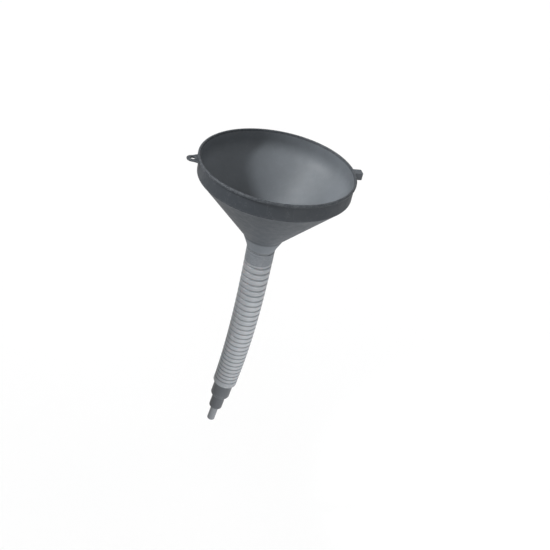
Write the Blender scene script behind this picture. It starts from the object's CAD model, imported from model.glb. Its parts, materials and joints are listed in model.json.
"""Looks of a plastic funnel with a flexible corrugated spout and a stepped nozzle.

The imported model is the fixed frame. Every piece of the funnel is a smooth surface worked out
around it: the bowl with its eye and hook, the coupling ring, the strainer, the spout, which
bends groove by groove, and the nozzle. Sizes are in millimetres and become metres when a mesh
is made.
"""

import json
import logging
import math
from collections.abc import Sequence
from dataclasses import dataclass, field, replace
from enum import Enum
from typing import Any

import bmesh
import bpy
import numpy as np
from mathutils import Matrix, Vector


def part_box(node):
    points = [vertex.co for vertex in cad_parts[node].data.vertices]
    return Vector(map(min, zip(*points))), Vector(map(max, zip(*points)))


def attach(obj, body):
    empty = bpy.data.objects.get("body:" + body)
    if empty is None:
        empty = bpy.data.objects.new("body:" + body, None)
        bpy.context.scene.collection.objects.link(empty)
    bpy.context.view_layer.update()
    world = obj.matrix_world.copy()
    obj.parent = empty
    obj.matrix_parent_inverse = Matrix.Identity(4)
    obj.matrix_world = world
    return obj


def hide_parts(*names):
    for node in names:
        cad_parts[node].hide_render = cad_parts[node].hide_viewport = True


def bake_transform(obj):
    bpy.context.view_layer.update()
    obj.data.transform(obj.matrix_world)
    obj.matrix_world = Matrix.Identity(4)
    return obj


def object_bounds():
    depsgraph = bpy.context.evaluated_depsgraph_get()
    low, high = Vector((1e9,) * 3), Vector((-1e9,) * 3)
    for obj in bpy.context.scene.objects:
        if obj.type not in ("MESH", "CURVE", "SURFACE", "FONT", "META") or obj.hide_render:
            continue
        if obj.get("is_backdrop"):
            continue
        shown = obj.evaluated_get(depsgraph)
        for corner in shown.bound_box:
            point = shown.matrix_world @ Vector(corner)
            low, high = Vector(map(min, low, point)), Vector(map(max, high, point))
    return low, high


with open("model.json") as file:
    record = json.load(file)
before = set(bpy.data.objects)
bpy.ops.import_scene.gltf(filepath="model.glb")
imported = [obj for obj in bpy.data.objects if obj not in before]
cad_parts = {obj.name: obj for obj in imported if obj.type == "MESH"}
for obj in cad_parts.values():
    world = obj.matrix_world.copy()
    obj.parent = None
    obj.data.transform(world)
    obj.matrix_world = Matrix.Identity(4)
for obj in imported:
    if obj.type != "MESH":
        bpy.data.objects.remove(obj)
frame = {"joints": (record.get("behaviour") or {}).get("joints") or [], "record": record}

log = logging.getLogger("funnel")

Array = np.ndarray
Colour = tuple[float, float, float]
Corner = tuple[float, float, float]
Point = tuple[float, float, float]
Row = tuple[float, float, float, float]

MM = 0.001
WELD = 1e-7
SEAM = 0.0001


# ---------------------------------------------------------------- surfaces


@dataclass(frozen=True)
class Surface:
    """A surface sampled on a grid whose rows run round it, in millimetres."""

    points: Array
    wrap_rows: bool = True
    marks: dict[str, Array] = field(default_factory=dict)

    def quads(self) -> Array:
        """Corner numbers of the grid's four-sided faces.

        Returns:
            One row of four numbers for each face, counted row by row.
        """
        rows, columns = self.points.shape[:2]
        row = np.arange(rows if self.wrap_rows else rows - 1)[:, None]
        column = np.arange(columns)[None, :]
        next_row = (row + 1) % rows
        next_column = (column + 1) % columns
        corners = [
            row * columns + column,
            row * columns + next_column,
            next_row * columns + next_column,
            next_row * columns + column,
        ]
        return np.stack(corners, axis=-1).reshape(-1, 4)

    def mark(self, name: str) -> Array:
        """The named value at each point, or zero where the surface doesn't have it."""
        shape = self.points.shape[:2]
        return np.broadcast_to(self.marks.get(name, np.zeros(1)), shape).reshape(-1)


@dataclass(frozen=True)
class Place:
    """Where a turned piece stands: its origin and its turn about Y, as seen from the front."""

    origin: Array
    turn: float

    def apply(self, points: Array) -> Array:
        """Moves points out of the piece's own frame.

        Each point is turned about Y by the place's angle and then shifted to its origin.

        Args:
            points: Points in the piece's frame, whose -Z runs down the piece.

        Returns:
            The points in the funnel's frame.
        """
        c, s = math.cos(self.turn), math.sin(self.turn)
        matrix = np.array([[c, 0.0, s], [0.0, 1.0, 0.0], [-s, 0.0, c]])
        return points @ matrix.T + self.origin


UPRIGHT = Place(np.zeros(3), 0.0)


def smooth(t: Array) -> Array:
    """Smooth step: 3t^2 - 2t^3, with t held between 0 and 1."""
    t = np.clip(t, 0.0, 1.0)
    return t * t * (3.0 - 2.0 * t)


def angles(count: int) -> Array:
    """That many even angles of one full turn, in radians, without the last."""
    return np.linspace(0.0, 2 * np.pi, count, endpoint=False)


def squared(value: Array, power: float) -> Array:
    """A cosine or sine raised to a small power, sign kept, which squares a round outline."""
    return np.sign(value) * np.abs(value) ** power


def round_grid(radius: Array, height: Array, around: int) -> Array:
    """Points (r cos a, r sin a, z) for even angles a.

    Args:
        radius: Radius r, in one column or in a column for each angle.
        height: Height z of each row, in one column.
        around: Number of angles.

    Returns:
        The points, one row of the grid for each height.
    """
    angle = angles(around)[None, :]
    shape = (len(height), around)
    flat = [radius * np.cos(angle), radius * np.sin(angle), height]
    return np.stack([np.broadcast_to(value, shape) for value in flat], axis=-1)


def rounded(corners: Sequence[Corner], step: float = 2.5, arc: int = 7) -> tuple[Array, Array]:
    """Closed outline with rounded corners.

    Each corner is replaced by the circular arc of its own radius that touches both of its
    sides, and each straight stretch is divided into equal lengths.

    Args:
        corners: Radius, height and corner radius of each corner, in order.
        step: Longest length of a division of a straight stretch.
        arc: Number of points on each arc.

    Returns:
        The outline's points, and at each point 1 on an arc that stands out and 0 elsewhere.
    """
    place = np.array([c[:2] for c in corners], float)
    size = np.array([c[2] for c in corners], float)
    back = np.roll(place, 1, axis=0) - place
    ahead = np.roll(place, -1, axis=0) - place
    back_length = np.linalg.norm(back, axis=1)
    ahead_length = np.linalg.norm(ahead, axis=1)
    u = back / back_length[:, None]
    v = ahead / ahead_length[:, None]
    opening = np.arccos(np.clip((u * v).sum(1), -1.0, 1.0))
    reach = np.minimum(size / np.tan(opening / 2), 0.48 * np.minimum(back_length, ahead_length))
    radius = reach * np.tan(opening / 2)
    middle = place + (u + v) / np.linalg.norm(u + v, axis=1)[:, None] * (
        radius / np.sin(opening / 2)
    )[:, None]
    start = place + u * reach[:, None]
    end = place + v * reach[:, None]
    swing = np.pi - opening
    area = 0.5 * (place[:, 0] * np.roll(place[:, 1], -1) - np.roll(place[:, 0], -1) * place[:, 1])
    outward = np.sign(area.sum()) * (v[:, 0] * u[:, 1] - v[:, 1] * u[:, 0]) > 0
    share = np.linspace(0.0, 1.0, arc)[:, None]
    pieces, standing = [], []
    for i in range(len(corners)):
        turned = (
            np.sin((1 - share) * swing[i]) * (start[i] - middle[i])
            + np.sin(share * swing[i]) * (end[i] - middle[i])
        ) / np.sin(swing[i])
        following = start[(i + 1) % len(corners)]
        run = np.linalg.norm(following - end[i])
        count = max(1, math.ceil(run / step))
        line = end[i] + (following - end[i]) * np.linspace(0, 1, count + 1)[1:-1, None]
        pieces += [middle[i] + turned, line]
        standing += [np.full(arc, float(outward[i])), np.zeros(len(line))]
    return np.concatenate(pieces), np.concatenate(standing)


def revolve(
    corners: Sequence[Corner],
    around: int = 160,
    place: Place = UPRIGHT,
    step: float = 2.5,
    ripple: tuple[int, float, float, float] | None = None,
) -> Surface:
    """Closed outline turned about the piece's Z axis.

    A point is (r cos a, r sin a, z), where r and z follow the rounded outline. A ripple takes
    depth times (1 + cos(count times a)) / 2 off the radius of the points inside its band.

    Args:
        corners: Radius, height and corner radius of each corner of the outline.
        around: Number of columns round the axis.
        place: Where the piece stands.
        step: Longest division of a straight stretch of the outline.
        ripple: Count, depth, and the smallest and largest share of the outline that it covers.

    Returns:
        The surface, with the mark "edge" on the corners that stand out.
    """
    outline, standing = rounded(corners, step)
    radius = outline[:, :1]
    if ripple is not None:
        count, depth, low, high = ripple
        fade = 0.03
        share = np.arange(len(outline))[:, None] / len(outline)
        inside = smooth((share - low) / fade) * smooth((high - share) / fade)
        radius = radius - depth * inside * (1 + np.cos(count * angles(around))) / 2
    points = round_grid(radius, outline[:, 1:], around)
    return Surface(place.apply(points), marks={"edge": standing[:, None]})


def make_piece(name: str, surfaces: Sequence[Surface], marks: Sequence[str] = ("edge",)) -> Any:
    """Joins surfaces into one object whose faces point outwards.

    Args:
        name: Name of the piece.
        surfaces: Closed surfaces, which may pass through each other.
        marks: Names of the values to keep at each point.

    Returns:
        The new Blender object, at the origin.
    """
    sizes = [s.points.shape[0] * s.points.shape[1] for s in surfaces]
    first = np.concatenate([[0], np.cumsum(sizes)[:-1]])
    points = np.concatenate([s.points.reshape(-1, 3) for s in surfaces]) * MM
    quads = np.concatenate([s.quads() + f for s, f in zip(surfaces, first)])
    mesh = bpy.data.meshes.new(name)
    mesh.from_pydata(points, [], quads)
    for mark in marks:
        values = np.concatenate([s.mark(mark) for s in surfaces]).astype(np.float32)
        mesh.attributes.new(mark, "FLOAT", "POINT").data.foreach_set("value", values)
    shape = bmesh.new()
    shape.from_mesh(mesh)
    bmesh.ops.remove_doubles(shape, verts=shape.verts, dist=WELD)
    bmesh.ops.recalc_face_normals(shape, faces=shape.faces)
    shape.to_mesh(mesh)
    shape.free()
    mesh.polygons.foreach_set("use_smooth", np.ones(len(mesh.polygons), bool))
    mesh.update()
    piece = bpy.data.objects.new(name, mesh)
    bpy.context.scene.collection.objects.link(piece)
    return piece


# ---------------------------------------------------------------- finishes


class Weave(Enum):
    """How the fine texture of a finish runs over its surface."""

    GRAIN = "even grain of a textured mould"
    DRAWN = "fine lines along the piece, as drawn or turned"
    RINGS = "fine lines round the piece, as blown in a ribbed mould"


STRETCH: dict[Weave, Colour] = {
    Weave.GRAIN: (1.0, 1.0, 1.0),
    Weave.DRAWN: (1.0, 1.0, 0.06),
    Weave.RINGS: (0.12, 0.12, 1.6),
}


class Shader:
    """A material's node tree, with short calls for the nodes that the finishes use."""

    def __init__(self, name: str) -> None:
        """Starts an empty material with an output."""
        self.material = bpy.data.materials.new(name)
        self.material.use_nodes = True
        self.tree = self.material.node_tree
        self.tree.nodes.clear()
        self.output = self.tree.nodes.new("ShaderNodeOutputMaterial")
        self.where = self.tree.nodes.new("ShaderNodeTexCoord").outputs["Object"]

    def put(self, socket: Any, value: Any) -> None:
        """Links value to the socket where it is an output, and sets it there otherwise."""
        if isinstance(value, bpy.types.NodeSocket):
            self.tree.links.new(value, socket)
        else:
            socket.default_value = value

    def node(self, kind: str, settings: dict[str, Any] | None = None, **inputs: Any) -> Any:
        """Adds a node.

        Args:
            kind: The node's type.
            settings: Values of the node's own properties.
            inputs: Values or outputs for its inputs. A name's underscores stand for spaces.

        Returns:
            The new node.
        """
        node = self.tree.nodes.new(kind)
        for key, value in (settings or {}).items():
            setattr(node, key, value)
        for key, value in inputs.items():
            self.put(node.inputs[key.replace("_", " ")], value)
        return node

    def noise(self, size_mm: float, stretch: Colour = (1, 1, 1), detail: float = 3.0) -> Any:
        """Noise whose blots are about size_mm across, longer where stretch is small.

        Args:
            size_mm: Size of a blot, in millimetres.
            stretch: Factor on the pattern's frequency along X, Y and Z.
            detail: Number of finer layers.

        Returns:
            The noise's value, about 0.5 on average.
        """
        mapped = self.node("ShaderNodeMapping", Vector=self.where, Scale=stretch)
        noise = self.node(
            "ShaderNodeTexNoise",
            Vector=mapped.outputs["Vector"],
            Scale=1.0 / (size_mm * MM),
            Detail=detail,
            Roughness=0.55,
        )
        return noise.outputs["Fac"]

    def spread(self, value: Any, low: float, high: float, out: tuple[float, float]) -> Any:
        """Maps value from low..high to the two numbers of out, held at both ends."""
        node = self.node(
            "ShaderNodeMapRange",
            Value=value, From_Min=low, From_Max=high, To_Min=out[0], To_Max=out[1],
        )
        return node.outputs["Result"]

    def maths(self, operation: str, a: Any, b: Any = 0.0) -> Any:
        """The result of a Math node on a and b."""
        node = self.node("ShaderNodeMath", {"operation": operation})
        for socket, value in zip(node.inputs, (a, b)):
            self.put(socket, value)
        return node.outputs["Value"]

    def blend(self, share: Any, a: Any, b: Any) -> Any:
        """A colour that is a where share is 0 and b where it is 1."""
        node = self.node("ShaderNodeMix", {"data_type": "RGBA"})
        sockets = [s for s in node.inputs if s.type == "RGBA"]
        factor = next(s for s in node.inputs if s.type == "VALUE")
        for socket, value in zip([factor, *sockets], (share, a, b)):
            self.put(socket, (*value, 1.0) if isinstance(value, tuple) else value)
        return next(s for s in node.outputs if s.type == "RGBA")

    def attribute(self, name: str) -> Any:
        """The value that the mesh holds under that name."""
        return self.node("ShaderNodeAttribute", {"attribute_name": name}).outputs["Fac"]

    def finish(self, shader: Any) -> Any:
        """Connects the surface shader and returns the material."""
        self.tree.links.new(shader.outputs["BSDF"], self.output.inputs["Surface"])
        return self.material


@dataclass(frozen=True)
class Plastic:
    """Moulded plastic: mottled colour, fine mould texture, scuffs, and pale worn edges."""

    name: str
    colour: Colour
    worn: Colour
    hollow: Colour
    roughness: float = 0.42
    roughness_spread: float = 0.12
    grain_mm: float = 0.7
    grain_depth: float = 0.05
    weave: Weave = Weave.GRAIN
    subsurface: float = 0.0
    specular: float = 0.2
    wear: float = 0.12

    def material(self) -> Any:
        """Builds the material.

        The colour drifts between the plain and a darker tone over some 40 mm, goes to the
        hollow's tone where the mesh says "groove", and a little to the worn tone along its
        edges, where a finer noise breaks it up. Scuffs are thin bright threads of a third
        noise, and they are rougher. The bump is the fine mould texture.
        """
        s = Shader(self.name)
        drift = s.spread(s.noise(40.0, detail=4.0), 0.35, 0.65, (0.0, 1.0))
        darker = tuple(0.88 * c for c in self.colour)
        tone = s.blend(drift, darker, self.colour)
        tone = s.blend(s.attribute("groove"), tone, self.hollow)
        patches = s.spread(s.noise(3.0, detail=5.0), 0.4, 0.7, (0.0, self.wear))
        edge = s.maths("MULTIPLY", s.attribute("edge"), patches)
        tone = s.blend(edge, tone, self.worn)
        middle = s.maths("SUBTRACT", s.noise(14.0, (1, 1.6, 0.5), 6.0), 0.5)
        thread = s.maths("ABSOLUTE", middle)
        scuff = s.spread(thread, 0.0, 0.006, (0.1, 0.0))
        tone = s.blend(scuff, tone, self.worn)
        low = self.roughness - self.roughness_spread / 2
        high = self.roughness + self.roughness_spread / 2
        rough = s.spread(s.noise(9.0, STRETCH[self.weave], 5.0), 0.35, 0.65, (low, high))
        rough = s.maths("ADD", rough, s.maths("MULTIPLY", scuff, 0.3))
        bump = s.node(
            "ShaderNodeBump",
            Height=s.noise(self.grain_mm, STRETCH[self.weave], 2.0),
            Strength=1.0,
            Distance=self.grain_depth * MM,
        )
        shader = s.node(
            "ShaderNodeBsdfPrincipled",
            Base_Color=tone,
            Roughness=rough,
            Normal=bump.outputs["Normal"],
            Specular_IOR_Level=self.specular,
            Subsurface_Weight=self.subsurface,
            Subsurface_Scale=0.003,
        )
        return s.finish(shader)


@dataclass(frozen=True)
class Wire:
    """Drawn brass wire, with dull patches."""

    name: str
    colour: Colour
    dull: Colour

    def material(self) -> Any:
        """Builds the material: metal whose colour and gloss fall off in patches of 6 mm."""
        s = Shader(self.name)
        patch = s.spread(s.noise(6.0, detail=5.0), 0.4, 0.62, (0.0, 1.0))
        bump = s.node(
            "ShaderNodeBump",
            Height=s.noise(0.25, detail=2.0),
            Strength=0.6,
            Distance=0.02 * MM,
        )
        shader = s.node(
            "ShaderNodeBsdfPrincipled",
            Base_Color=s.blend(patch, self.colour, self.dull),
            Metallic=1.0,
            Roughness=s.spread(patch, 0.0, 1.0, (0.28, 0.5)),
            Normal=bump.outputs["Normal"],
        )
        return s.finish(shader)


@dataclass(frozen=True)
class Paint:
    """Smooth pale paint of the studio's floor."""

    name: str
    colour: Colour

    def material(self) -> Any:
        """Builds the material: an even coat with a faint drift in its gloss."""
        s = Shader(self.name)
        shader = s.node(
            "ShaderNodeBsdfPrincipled",
            Base_Color=(*self.colour, 1.0),
            Roughness=s.spread(s.noise(300.0), 0.3, 0.7, (0.75, 0.85)),
        )
        return s.finish(shader)


BOWL_PLASTIC = Plastic(
    "bowl plastic", (0.075, 0.083, 0.092), (0.2, 0.21, 0.22), (0.018, 0.021, 0.025),
    roughness=0.6,
)
RING_PLASTIC = Plastic(
    "coupling ring plastic", (0.06, 0.065, 0.071), (0.2, 0.2, 0.21), (0.05, 0.05, 0.055),
    roughness=0.5, weave=Weave.DRAWN,
)
STRAINER_PLASTIC = Plastic(
    "strainer plastic", (0.05, 0.052, 0.056), (0.14, 0.14, 0.15), (0.02, 0.02, 0.02),
    roughness=0.45,
)
CUFF_PLASTIC = Plastic(
    "cuff plastic", (0.062, 0.068, 0.075), (0.3, 0.31, 0.33), (0.04, 0.043, 0.047),
    roughness=0.45, grain_mm=1.2, grain_depth=0.03, weave=Weave.RINGS,
)
SPOUT_PLASTIC = Plastic(
    "spout plastic", (0.115, 0.121, 0.128), (0.2, 0.21, 0.22), (0.06, 0.064, 0.069),
    roughness=0.45, grain_depth=0.03, weave=Weave.RINGS, subsurface=0.04, specular=0.25,
)
NOZZLE_PLASTIC = Plastic(
    "nozzle plastic", (0.04, 0.043, 0.047), (0.2, 0.21, 0.22), (0.03, 0.03, 0.03),
    roughness=0.4, weave=Weave.DRAWN,
)
TIP_PLASTIC = Plastic(
    "nozzle tip plastic", (0.1, 0.106, 0.113), (0.3, 0.31, 0.33), (0.05, 0.05, 0.05),
    roughness=0.36, weave=Weave.DRAWN,
)
GAUZE_WIRE = Wire("gauze wire", (0.75, 0.56, 0.26), (0.4, 0.29, 0.14))
FLOOR_PAINT = Paint("floor paint", (0.96, 0.96, 0.96))


def dress(piece: Any, finish: Any, body: str, nodes: Sequence[str]) -> None:
    """Gives a piece its material, its body and the nodes that it stands for.

    Args:
        piece: The Blender object.
        finish: The finish whose material it gets.
        body: Name of the body that it moves with, or "" where it bends between two.
        nodes: Names of the nodes that it replaces.
    """
    known = bpy.data.materials.get(finish.name)
    piece.data.materials.append(known or finish.material())
    if body:
        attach(piece, body)
    if nodes:
        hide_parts(*nodes)
    log.info("%s: %d faces on %s", piece.name, len(piece.data.polygons), body or "two bodies")


# ---------------------------------------------------------------- pieces of the funnel


@dataclass
class Bowl:
    """The bowl: band, cone, throat and stub, with the hanging eye and the hook."""

    mouth_r: float = 103.4
    wall: float = 2.0
    bead_r: float = 1.8
    band_h: float = 22.2
    shoulder_in: float = 1.6
    shoulder_h: float = 1.5
    cone_h: float = 80.0
    throat_r: float = 29.2
    throat_h: float = 18.5
    lip_r: float = 20.58
    lip_h: float = 1.4
    stub_r: float = 17.6
    stub_wall: float = 2.0
    stub_h: float = 21.0
    lug_turn: float = 18.0
    lug_down: float = -0.8
    eye_reach: float = 8.5
    eye_hole_r: float = 3.4
    eye_edge: float = 4.6
    eye_t: float = 2.0
    eye_border_h: float = 0.3
    eye_border_w: float = 1.6
    eye_root_w: float = 24.0
    hook_reach: float = 13.0
    hook_w: float = 12.0
    hook_drop: float = 10.0
    hook_t: float = 1.8
    hook_squareness: float = 0.22
    edge_line_down: float = 1.6
    edge_line_w: float = 1.7
    cone_tone: float = 0.6
    throat_tone: float = 0.1
    eye_tone: float = 0.9

    @property
    def band_r(self) -> float:
        """Outer radius of the band."""
        return self.mouth_r - self.bead_r

    @property
    def throat_top(self) -> float:
        """Depth at which the cone meets the throat."""
        return self.band_h + self.shoulder_h + self.cone_h

    @property
    def cone_slope(self) -> float:
        """Radius that the cone gains with each millimetre of height."""
        return (self.band_r - self.shoulder_in - self.throat_r) / self.cone_h

    @property
    def cone_wall(self) -> float:
        """Thickness of the cone's wall, measured level."""
        return self.wall / math.cos(math.atan(self.cone_slope))

    def inside(self, height: float) -> float:
        """Inner radius of the cone at that height."""
        return self.throat_r - self.cone_wall + (height + self.throat_top) * self.cone_slope

    def shell(self) -> Surface:
        """The bowl's wall: one closed outline, from the rim bead to the stub and back.

        The mark "groove" is full on the bead, the outside of the band and a soft line just
        under the edge of the cone, partly on the cone, and low on the throat.
        """
        cone_top = self.band_h + self.shoulder_h
        throat_end = self.throat_top + self.throat_h
        lip_end = throat_end + self.lip_h
        stub_end = lip_end + self.stub_h
        stub_in = self.stub_r - self.stub_wall
        inner = self.band_r - self.wall
        inner_throat = self.throat_r - self.cone_wall
        bend = (inner - inner_throat) / self.cone_slope - self.throat_top
        bead = self.bead_r
        roll = 0.98 * bead
        shell = revolve(
            [
                (inner + 0.2, bead, roll),
                (self.mouth_r, bead, roll),
                (self.mouth_r, -bead, roll),
                (self.band_r, -bead - 0.05, 0.3),
                (self.band_r, -self.band_h, 0.9),
                (self.band_r - self.shoulder_in, -cone_top, 1.6),
                (self.throat_r, -self.throat_top, 1.5),
                (self.lip_r, -throat_end, 2.5),
                (self.lip_r, -lip_end, 0.45),
                (self.stub_r, -lip_end, 0.3),
                (self.stub_r, -stub_end, 0.6),
                (stub_in, -stub_end, 0.6),
                (stub_in, -throat_end, 3.0),
                (inner_throat, -self.throat_top, 10.0),
                (inner, bend, 28.0),
                (inner, -bead, 0.4),
            ],
            around=288,
        )
        height = shell.points[:, :1, 2]
        radius = np.hypot(shell.points[:, :1, 0], shell.points[:, :1, 1])
        outside = radius > self.inside(height) + self.cone_wall / 2
        band = smooth((height + cone_top) / self.shoulder_h) * (radius > self.band_r - 0.4)
        below = height + self.throat_top
        line = np.exp(-(((below + self.edge_line_down) / self.edge_line_w) ** 2))
        fade = smooth((-below - 2.0) / 2.0)
        cone = self.cone_tone + (self.throat_tone - self.cone_tone) * fade
        dark = np.maximum(np.maximum(band, height > -0.6 * bead), line * outside)
        dark = np.maximum(dark, cone * outside * (height < -cone_top))
        return replace(shell, marks={"edge": shell.marks["edge"], "groove": dark})

    def eye(self) -> Surface:
        """The hanging eye: a plate round a hole, with a raised border.

        Seen from above, the outline is the distance R(a) from the hole's middle in each
        direction: the larger of the round end's radius and the distance to the sides of the
        tapered tongue. Its section runs from the hole over the border and the plate to the
        edge, and back underneath.
        """
        angle = angles(128)
        end_r = self.eye_hole_r + self.eye_edge
        length = self.eye_reach + self.wall / 2
        rise = self.eye_root_w / 2 - end_r
        across = np.array([[-1.0, 0.0], [rise, self.eye_reach], [rise, -self.eye_reach]])
        reach = np.array([length, self.eye_reach * end_r, self.eye_reach * end_r])
        ahead = across @ np.stack([np.cos(angle), np.sin(angle)])
        with np.errstate(divide="ignore"):
            distance = np.where(ahead > 1e-6, reach[:, None] / np.maximum(ahead, 1e-6), 1e3)
        tongue = np.where(np.cos(angle) < 0, distance.min(axis=0), 0.0)
        outline = np.maximum(end_r, tongue)
        half = self.eye_t / 2
        top = half + self.eye_border_h
        ring = self.eye_hole_r + self.eye_border_w
        section: list[Row] = [
            (self.eye_hole_r, 0.0, 0.0, 0.0),
            (self.eye_hole_r, 0.0, top - 0.3, 0.0),
            (self.eye_hole_r + 0.1, 0.0, top - 0.1, 1.0),
            (self.eye_hole_r + 0.3, 0.0, top, 1.0),
            (ring - 0.3, 0.0, top, 1.0),
            (ring - 0.08, 0.0, top - 0.1, 1.0),
            (ring, 0.0, half + 0.1, 0.0),
            (ring + 0.12, 0.0, half, 0.0),
            (-1.6, 1.0, half, 0.0),
            (-0.7, 1.0, half, 0.0),
            (-0.2, 1.0, half - 0.2, 1.0),
            (0.0, 1.0, half - 0.7, 1.0),
        ]
        upper = np.array(section)
        lower = upper[::-1] * np.array([1.0, 1.0, -1.0, 1.0])
        rows = np.concatenate([upper, lower[:-1]])
        radius = rows[:, :1] + rows[:, 1:2] * outline[None, :]
        points = round_grid(radius, rows[:, 2:3] - self.lug_down - half, len(angle))
        points += np.array([self.band_r + self.eye_reach, 0.0, 0.0])
        marks = {"edge": rows[:, 3:], "groove": np.full((len(rows), 1), self.eye_tone)}
        return self.turned(Surface(points, marks=marks), 180.0 + self.lug_turn)

    def hook(self) -> Surface:
        """The hook: a cup of rounded rectangular outline, turned upside down.

        A row of the grid is the rectangle of half sizes a - o and b - o, whose corners are
        rounded by raising the cosine and sine to a small power, at the height of that row. The
        rows run from the middle of the pocket's ceiling down its walls, over the rim and up
        the outside to the middle of the top.
        """
        angle = angles(96)
        root = self.band_r - self.wall / 2
        half_x = (self.band_r + self.hook_reach - root) / 2
        half_y = self.hook_w / 2
        t = self.hook_t
        low, ceiling = -self.hook_drop, -self.hook_t
        rows = np.array(
            [
                (0.0, 0.0, ceiling, 0.0),
                (0.8, t + 0.5, ceiling, 0.0),
                (1.0, t + 0.3, ceiling - 0.1, 0.0),
                (1.0, t, ceiling - 0.7, 0.0),
                (1.0, t, (low + ceiling) / 2, 0.0),
                (1.0, t, low + 0.5, 0.0),
                (1.0, t - 0.3, low + 0.1, 1.0),
                (1.0, t / 2, low, 1.0),
                (1.0, 0.3, low + 0.1, 1.0),
                (1.0, 0.0, low + 0.5, 0.0),
                (1.0, 0.0, low / 2, 0.0),
                (1.0, 0.0, -0.8, 0.0),
                (1.0, 0.12, -0.3, 1.0),
                (1.0, 0.7, 0.0, 1.0),
                (0.8, 0.8, 0.0, 0.0),
                (0.0, 0.0, 0.0, 0.0),
            ]
        )
        along = squared(np.cos(angle), self.hook_squareness)
        across = squared(np.sin(angle), self.hook_squareness)
        x = rows[:, :1] * (half_x - rows[:, 1:2]) * along + root + half_x
        y = rows[:, :1] * (half_y - rows[:, 1:2]) * across
        z = np.repeat(rows[:, 2:3] - self.lug_down, len(angle), axis=1)
        marks = {"edge": rows[:, 3:], "groove": np.full((len(rows), 1), self.cone_tone)}
        cup = Surface(np.stack([x, y, z], axis=-1), wrap_rows=False, marks=marks)
        return self.turned(cup, self.lug_turn)

    @staticmethod
    def turned(surface: Surface, degrees: float) -> Surface:
        """The surface turned about the funnel's axis by that many degrees."""
        c, s = math.cos(math.radians(degrees)), math.sin(math.radians(degrees))
        matrix = np.array([[c, -s, 0.0], [s, c, 0.0], [0.0, 0.0, 1.0]])
        return replace(surface, points=surface.points @ matrix.T)

    def build(self) -> None:
        """Makes the bowl and dresses it."""
        parts = [self.shell(), self.eye(), self.hook()]
        piece = make_piece("bowl_moulding", parts, ("edge", "groove"))
        dress(piece, BOWL_PLASTIC, "bowl", ["bowl"])


@dataclass
class CouplingRing:
    """The dark ring between the bowl's lip and the spout, with a finely ribbed rim."""

    outer_r: float = 19.18
    inner_r: float = 17.68
    ribs: int = 60
    rib_depth: float = 0.3

    def build(self) -> None:
        """Makes the ring and dresses it."""
        low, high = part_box("coupling_ring")
        bottom, top = low.z / MM, high.z / MM
        outline = [
            (self.inner_r, bottom, 0.3),
            (self.outer_r, bottom, 0.5),
            (self.outer_r, top, 0.5),
            (self.inner_r, top, 0.3),
        ]
        ribbed = (self.ribs, self.rib_depth, 0.3, 0.62)
        piece = make_piece("coupling_ring_ribbed", [revolve(outline, 360, step=0.5, ripple=ribbed)])
        dress(piece, RING_PLASTIC, "collar", ["coupling_ring"])


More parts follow.
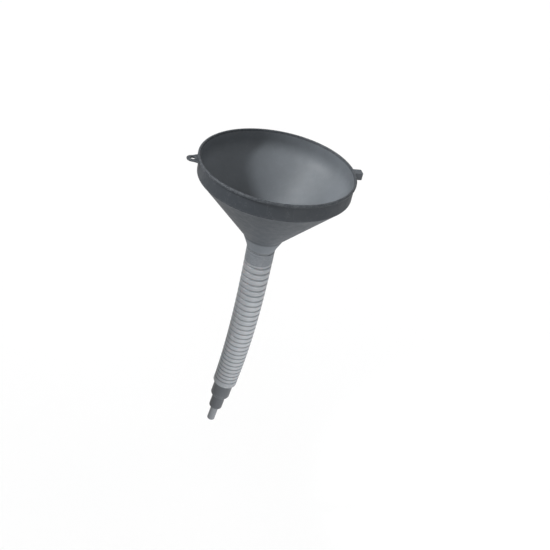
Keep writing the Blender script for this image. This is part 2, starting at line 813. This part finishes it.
@dataclass
class Strainer:
    """The lift-out strainer: a conical frame with cross bars and a knob, and its gauze."""

    bowl: Bowl
    height: float = 6.0
    foot: float = 2.2
    seat_gap: float = 0.3
    bar_w: float = 2.0
    bar_h: float = 1.8
    knob_r: float = 3.0
    knob_h: float = 14.0
    gauze_t: float = 0.6
    wire_pitch: float = 1.25
    wire_r: float = 0.15
    bar_squareness: float = 0.4

    def bottom(self) -> float:
        """Height of the frame's foot."""
        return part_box("strainer_frame")[0].z / MM

    def seat_r(self, height: float) -> float:
        """Outer radius of the frame at that height, just clear of the cone."""
        return self.bowl.inside(height) - self.seat_gap * self.bowl.cone_wall / self.bowl.wall

    def inner_r(self) -> float:
        """Radius of the opening that the gauze fills."""
        return self.seat_r(self.bottom()) - self.foot

    def gauze_top(self) -> float:
        """Height of the gauze's upper side, which the bars and the knob stand on."""
        return self.bottom() + self.seat_gap + self.gauze_t

    def ring(self) -> Surface:
        """The frame's ring, which lies on the cone."""
        low = self.bottom()
        high = low + self.height
        top_r = self.seat_r(high)
        return revolve(
            [
                (self.inner_r(), low, 0.3),
                (self.seat_r(low), low, 0.5),
                (top_r, high, 0.6),
                (top_r - self.foot, high, 0.6),
                (self.inner_r(), self.gauze_top() + self.bar_h, 0.8),
            ],
            around=144,
        )

    def bar(self, degrees: float) -> Surface:
        """A cross bar with rounded sides.

        A row is the rounded rectangle of the bar's section, carried along the bar from one
        side of the ring to the other, with its ends drawn to a point inside the ring.
        """
        angle = angles(24)
        reach = self.inner_r() + self.foot / 2
        along = np.linspace(-reach, reach, 40)
        scale = np.ones_like(along)
        along = np.concatenate([[-reach], along, [reach]])
        scale = np.concatenate([[0.0], scale, [0.0]])[:, None]
        y = scale * self.bar_w / 2 * squared(np.cos(angle), self.bar_squareness)
        lift = self.gauze_top() + self.bar_h / 2
        z = lift + scale * self.bar_h / 2 * squared(np.sin(angle), self.bar_squareness)
        x = np.repeat(along[:, None], len(angle), axis=1)
        return Bowl.turned(Surface(np.stack([x, y, z], axis=-1), wrap_rows=False), degrees)

    def knob(self) -> Surface:
        """The lifting knob: a slim stem that flares into a ball."""
        base = self.gauze_top()
        middle = base + self.bar_h + self.knob_h - self.knob_r
        ball = np.linspace(-0.42 * np.pi, 0.5 * np.pi, 24)
        stem_z = np.linspace(base + 0.2, middle - 1.25 * self.knob_r, 14)
        flare = 1.2 * np.exp(-(stem_z - stem_z[0]) / 1.5)
        radius = np.concatenate([[0.0], self.knob_r / 2 - 0.2 + flare, self.knob_r * np.cos(ball)])
        height = np.concatenate([[base + 0.2], stem_z, middle + self.knob_r * np.sin(ball)])
        points = round_grid(np.maximum(radius, 0.0)[:, None], height[:, None], 40)
        return Surface(points, wrap_rows=False)

    def wires(self, lengthwise: bool) -> list[Surface]:
        """One direction of the gauze's wires.

        Each wire's height is a cosine of its length whose sign changes from wire to wire and
        from one direction to the other, so that the wires pass over and under each other.

        Args:
            lengthwise: True for the wires along X, False for those along Y.

        Returns:
            One closed tube for each wire.
        """
        limit = self.inner_r() - 0.1
        count = int(limit / self.wire_pitch)
        offsets = np.arange(-count, count + 1) * self.wire_pitch
        angle = angles(6)
        middle = self.bottom() + self.seat_gap + self.gauze_t / 2
        tubes = []
        for k, offset in enumerate(offsets):
            reach = math.sqrt(max(limit**2 - offset**2, 0.25))
            steps = max(8, int(2 * reach / self.wire_pitch * 4))
            along = np.linspace(-reach, reach, steps)
            sign = (1.0 if lengthwise else -1.0) * (-1.0) ** k
            wave = sign * 0.8 * self.wire_r * np.cos(np.pi * along / self.wire_pitch)
            thick = np.full(steps, self.wire_r)
            thick[[0, -1]] = 0.0
            side = offset + thick[:, None] * np.cos(angle)
            height = middle + wave[:, None] + thick[:, None] * np.sin(angle)
            run = np.repeat(along[:, None], len(angle), axis=1)
            order = [run, side, height] if lengthwise else [side, run, height]
            tubes.append(Surface(np.stack(order, axis=-1), wrap_rows=False))
        return tubes

    def build(self) -> None:
        """Makes the frame and the gauze and dresses them."""
        frame_piece = make_piece(
            "strainer_frame_moulding", [self.ring(), self.bar(0.0), self.bar(90.0), self.knob()]
        )
        dress(frame_piece, STRAINER_PLASTIC, "strainer", ["strainer_frame"])
        gauze = make_piece("strainer_gauze_woven", self.wires(True) + self.wires(False))
        dress(gauze, GAUZE_WIRE, "strainer", ["strainer_gauze"])


@dataclass
class Spout:
    """The flexible spout: a cuff, one bending piece for each groove, and a plain end."""

    cuff_r: float = 19.68
    end_r: float = 18.1
    bearing_r: float = 17.68
    taper_power: float = 1.6
    wall: float = 1.2
    groove_depth: float = 1.3
    groove_share: float = 0.23
    crown: float = 0.3
    cuff_below: float = 4.2
    cuff_lines: int = 5
    cuff_line_w: float = 0.7
    cuff_line_depth: float = 0.22
    cuff_margins: tuple[float, float] = (3.2, 2.8)
    tail_h: float = 9.5
    tail_bead_h: float = 1.6
    tail_line_depth: float = 0.25
    bend_share: float = 0.8
    around: int = 128
    grooves: list[dict[str, Any]] = field(init=False)
    middles: Array = field(init=False)
    pitches: Array = field(init=False)
    down: Array = field(init=False)
    turns: Array = field(init=False)

    def __post_init__(self) -> None:
        """Finds the grooves: the hinges whose names end in their count, from the top down.

        Each has its middle, the pitch to the next one, and the direction and turn of the
        spout above it. The last direction is the nozzle's own.
        """
        found = [j for j in frame["joints"] if "_flex_" in j["name"]]
        self.grooves = sorted(found, key=lambda j: j["name"][-2:])
        self.middles = np.array([j["pos_m"] for j in self.grooves]) / MM
        mounts = {m["name"]: m for m in frame["record"]["mounts"]}
        last = np.array(mounts["nozzle_tip"]["axis"])
        spans = np.diff(self.middles, axis=0)
        self.pitches = np.linalg.norm(spans, axis=1)
        self.down = np.concatenate([[[0.0, 0.0, -1.0]], spans / self.pitches[:, None], [last]])
        self.turns = np.arctan2(-self.down[:, 0], -self.down[:, 2])

    def pitch(self, j: int) -> float:
        """Pitch below groove j. The last groove takes the pitch above it."""
        return self.pitches[min(j, len(self.pitches) - 1)]

    def crest(self, j: float) -> float:
        """Radius above groove j: the cuff's at first, and narrower along a power curve."""
        folds = len(self.grooves) - 1
        share = min(j / folds, 1.0) ** self.taper_power
        return self.cuff_r - (self.cuff_r - self.end_r) * share

    def bending(self, j: int) -> Surface:
        """The wall of the spout round groove j, from mid fold to mid fold.

        Along the spout, the radius runs from one fold's crest to the next, less a groove of
        depth times (1 + cos(pi s / w)) / 2 within w of the middle, and less a crown that falls
        off to zero with no slope at the seams. The inner wall follows it at the wall's
        thickness. Rings of the grid lie square to the spout above and below, and turn
        smoothly between.

        Args:
            j: The groove's number, from 0 at the cuff.

        Returns:
            A closed ring of the spout's wall.
        """
        above = self.pitches[j - 1] / 2 if j else self.cuff_below
        below = self.pitch(j) / 2
        half_width = self.groove_share * self.pitch(j)
        s = np.unique(
            np.concatenate(
                [
                    np.linspace(-below, -half_width, 7),
                    np.linspace(-half_width, half_width, 21),
                    np.linspace(half_width, above, 7),
                ]
            )
        )[::-1]
        away = np.abs(s)
        reach = np.where(s > 0, above, below)
        dip = np.where(away < half_width, (1 + np.cos(np.pi * s / half_width)) / 2, 0.0) ** 0.85
        across = smooth((above - s) / (above + below))
        radius = self.crest(j) + (self.crest(j + 1) - self.crest(j)) * across
        radius = radius - self.groove_depth * dip - self.crown * (1 - away / reach) ** 2
        turn = self.turns[j] + (self.turns[j + 1] - self.turns[j]) * across
        line = self.middles[j] - np.where(
            s[:, None] > 0, s[:, None] * self.down[j], s[:, None] * self.down[j + 1]
        )
        rows = np.concatenate([np.arange(len(s)), np.arange(len(s))[::-1]])
        inset = np.concatenate([np.zeros(len(s)), np.full(len(s), self.wall)])
        angle = angles(self.around)[None, :]
        r = (radius[rows] - inset)[:, None]
        tilt = turn[rows][:, None]
        level = r * np.cos(angle)
        points = line[rows][:, None, :] + np.stack(
            [level * np.cos(tilt), r * np.sin(angle), -level * np.sin(tilt)], axis=-1
        )
        shoulder = np.exp(-(((away - half_width) / (0.35 * half_width)) ** 2))
        marks = {
            "groove": (dip[rows] * (inset == 0))[:, None],
            "edge": (shoulder[rows] * (inset == 0))[:, None],
        }
        return Surface(points, marks=marks)

    def cuff(self) -> Surface:
        """The cuff round the stub: a plain sleeve with fine lines round it and a low bead."""
        low = self.middles[0][2] + self.cuff_below
        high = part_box("spout_cuff")[1].z / MM
        inner = self.bearing_r
        outline: list[Corner] = [(inner, low, SEAM), (self.cuff_r, low, SEAM)]
        spacing = (high - low - sum(self.cuff_margins)) / self.cuff_lines
        for k in range(self.cuff_lines):
            z = low + self.cuff_margins[0] + k * spacing
            outline += [
                (self.cuff_r, z - self.cuff_line_w / 2, 0.2),
                (self.cuff_r - self.cuff_line_depth, z, 0.2),
                (self.cuff_r, z + self.cuff_line_w / 2, 0.2),
            ]
        outline += [(self.cuff_r, high, 0.7), (inner, high, 0.4)]
        return revolve(outline, self.around, step=1.5)

    def tail(self) -> Surface:
        """The plain lower end: a sleeve with a bead and a line, round the nozzle's spigot."""
        place = Place(self.middles[-1], self.turns[-1])
        top = -self.pitches[-1] / 2
        low = -self.tail_h
        bead = low + self.tail_bead_h
        inner = self.end_r - self.wall
        line_r = self.end_r - self.tail_line_depth
        return revolve(
            [
                (inner, low, 0.3),
                (self.end_r, low, 0.55),
                (self.end_r, bead, 0.4),
                (line_r, bead + 0.4, 0.4),
                (line_r, bead + 0.8, 0.4),
                (self.end_r, bead + 1.2, 0.4),
                (self.end_r, top, SEAM),
                (inner, top, SEAM),
            ],
            self.around,
            place,
            step=1.0,
        )

    def build(self) -> None:
        """Makes the cuff, the bending pieces and the tail, and dresses them."""
        cuff = make_piece("spout_cuff_sleeve", [self.cuff()])
        dress(cuff, CUFF_PLASTIC, "spout_head", ["spout_cuff"])
        for j, groove in enumerate(self.grooves):
            piece = make_piece(f"spout_groove_{j + 1:02d}", [self.bending(j)], ("edge", "groove"))
            node = f"spout_fold_{j + 1:02d}"
            last = j == len(self.grooves) - 1
            dress(piece, SPOUT_PLASTIC, "", [] if last else [node])
            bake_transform(piece)
        tail = make_piece("spout_tail_sleeve", [self.tail()], ("edge", "groove"))
        dress(tail, SPOUT_PLASTIC, "nozzle_end", ["spout_tail"])


@dataclass
class Nozzle:
    """The stepped nozzle: two dark steps, the first with a line round it, and a pale tip."""

    spout: Spout
    step1_r: float = 14.6
    step1_h: float = 28.5
    step2_r: float = 10.2
    step2_h: float = 27.5
    tip_r: float = 6.0
    tip_h: float = 29.0
    wall: float = 1.8
    spigot_h: float = 5.0
    push_fit: float = 0.05
    seat_gap: float = 0.3
    line_up: float = 4.2
    line_depth: float = 0.3
    tip_inset: float = 0.6

    @property
    def place(self) -> Place:
        """The nozzle's place: on the spout's last groove, in line with its end."""
        return Place(self.spout.middles[-1], self.spout.turns[-1])

    @property
    def end1(self) -> float:
        """Height of the first step's lower end."""
        return -self.spout.tail_h - self.step1_h

    @property
    def end2(self) -> float:
        """Height of the second step's lower end."""
        return self.end1 - self.step2_h

    def steps(self) -> Surface:
        """The two steps and the spigot, down to where the tip leaves the second step."""
        wall = self.wall
        shoulder = -self.spout.tail_h - self.seat_gap
        spigot_top = -self.spout.tail_h + self.spigot_h
        spigot_r = self.spout.end_r - self.spout.wall - self.push_fit
        line = self.end1 + self.line_up
        return revolve(
            [
                (self.step1_r, shoulder, 0.4),
                (self.step1_r, line + 0.4, 0.2),
                (self.step1_r - self.line_depth, line, 0.2),
                (self.step1_r, line - 0.4, 0.2),
                (self.step1_r, self.end1, 1.5),
                (self.step2_r, self.end1, 0.9),
                (self.step2_r, self.end2, 1.3),
                (self.tip_r - wall, self.end2, 0.3),
                (self.tip_r - wall, self.end2 + wall, 0.4),
                (self.step2_r - wall, self.end2 + wall, 0.8),
                (self.step2_r - wall, self.end1 + wall, 0.8),
                (self.step1_r - wall, self.end1 + wall, 0.8),
                (self.step1_r - wall, spigot_top, 0.3),
                (spigot_r, spigot_top, 0.4),
                (spigot_r, shoulder, 0.1),
            ],
            128,
            self.place,
        )

    def tip(self) -> Surface:
        """The thin tip: a plain tube with a rounded end, let into the second step."""
        top = self.end2 + self.tip_inset
        low = self.end2 - self.tip_h
        return revolve(
            [
                (self.tip_r, top, 0.2),
                (self.tip_r, low, 0.85),
                (self.tip_r - self.wall, low, 0.5),
                (self.tip_r - self.wall, top, 0.2),
            ],
            96,
            self.place,
        )

    def build(self) -> None:
        """Makes the nozzle's two pieces and dresses them."""
        steps = make_piece("nozzle_steps", [self.steps()])
        dress(steps, NOZZLE_PLASTIC, "nozzle_end", ["nozzle"])
        tip = make_piece("nozzle_tip", [self.tip()])
        dress(tip, TIP_PLASTIC, "nozzle_end", [])


# ---------------------------------------------------------------- studio


@dataclass(frozen=True)
class Softbox:
    """A round softbox with a snoot: where it stands, what it aims at, and its light.

    The beam is the snoot's full angle in degrees, and the light fades out towards its edge.
    """

    name: str
    place: Point
    aim: Point
    width: float
    power: float
    beam: float

    def build(self) -> None:
        """Adds the light, turned so that its face looks at its aim."""
        data = bpy.data.lights.new(self.name, "SPOT")
        data.spot_size = math.radians(self.beam)
        data.spot_blend = 1.0
        data.shadow_soft_size = self.width / 2
        data.energy = self.power
        light = bpy.data.objects.new(self.name, data)
        bpy.context.scene.collection.objects.link(light)
        light.matrix_world = facing(self.place, self.aim, 0.0)


def facing(place: Point, aim: Point, roll: float) -> Matrix:
    """Matrix of a light or camera at place that looks at aim.

    Its -Z points at the aim, and its Y is upright, turned by roll about the line of sight.

    Args:
        place: Where it stands, in metres.
        aim: The point that it looks at.
        roll: Turn about the line of sight, in degrees, counterclockwise as the camera sees.

    Returns:
        The object's matrix.
    """
    eye, target = np.array(place, float), np.array(aim, float)
    back = (eye - target) / np.linalg.norm(eye - target)
    right = np.cross([0.0, 0.0, 1.0], back)
    right /= np.linalg.norm(right)
    up = np.cross(back, right)
    c, s = math.cos(math.radians(roll)), math.sin(math.radians(roll))
    columns = [c * right + s * up, c * up - s * right, back, eye]
    matrix = np.eye(4)
    matrix[:3, :] = np.stack(columns, axis=1)
    return Matrix(matrix.tolist())


@dataclass(frozen=True)
class Studio:
    """Camera, floor, sky and lights."""

    distance: float = 1.1
    elevation: float = 33.87
    roll: float = 12.84
    lens: float = 51.57
    aim: Point = (0.02707, 0.0, -0.16589)
    sensor_w: float = 36.0
    floor_drop: float = 0.25
    floor_r: float = 9.0
    sky: float = 1.05

    def camera(self) -> None:
        """Adds the camera, which looks down at the funnel and leans a little."""
        tilt = math.radians(self.elevation)
        place = (
            self.aim[0],
            self.aim[1] - self.distance * math.cos(tilt),
            self.aim[2] + self.distance * math.sin(tilt),
        )
        data = bpy.data.cameras.new("camera")
        data.lens = self.lens
        data.sensor_width = self.sensor_w
        camera = bpy.data.objects.new("camera", data)
        bpy.context.scene.collection.objects.link(camera)
        camera.matrix_world = facing(place, self.aim, self.roll)
        bpy.context.scene.camera = camera

    def floor(self) -> None:
        """Adds the floor: a wide disc below the funnel, as rings round its middle."""
        ring = np.linspace(0.0, self.floor_r / MM, 24)[:, None]
        height = np.full(ring.shape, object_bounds()[0][2] / MM - self.floor_drop / MM)
        floor = make_piece("floor", [Surface(round_grid(ring, height, 64), wrap_rows=False)], ())
        floor.data.materials.append(FLOOR_PAINT.material())
        floor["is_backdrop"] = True

    def lights(self) -> None:
        """Adds the softboxes and the even white sky."""
        boxes = [
            Softbox("key", (-1.15, -0.45, 1.25), (0.05, 0.0, 0.06), 0.55, 1400.0, 10.5),
            Softbox("right", (0.8, -1.12, -0.35), (0.0, 0.0, -0.28), 0.4, 250.0, 24.0),
        ]
        for box in boxes:
            box.build()
        world = bpy.data.worlds.new("studio sky")
        world.use_nodes = True
        background = world.node_tree.nodes["Background"]
        background.inputs["Color"].default_value = (1.0, 1.0, 1.0, 1.0)
        background.inputs["Strength"].default_value = self.sky
        bpy.context.scene.world = world
        bpy.context.scene.view_settings.view_transform = "Standard"

    def build(self) -> None:
        """Adds the camera, the floor and the lights."""
        self.camera()
        self.floor()
        self.lights()
        log.info("studio: camera, floor and lights")


def corners(box: Any) -> list[list[float]]:
    """A box as two plain lists of numbers."""
    return [[float(v) for v in corner] for corner in box]


def main() -> None:
    """Builds the studio and the funnel."""
    logging.basicConfig(level=logging.INFO, format="%(name)s: %(message)s")
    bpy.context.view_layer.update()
    Studio().build()
    bowl = Bowl()
    bowl.build()
    CouplingRing().build()
    Strainer(bowl).build()
    spout = Spout()
    spout.build()
    Nozzle(spout).build()


if __name__ == "__main__":
    main()
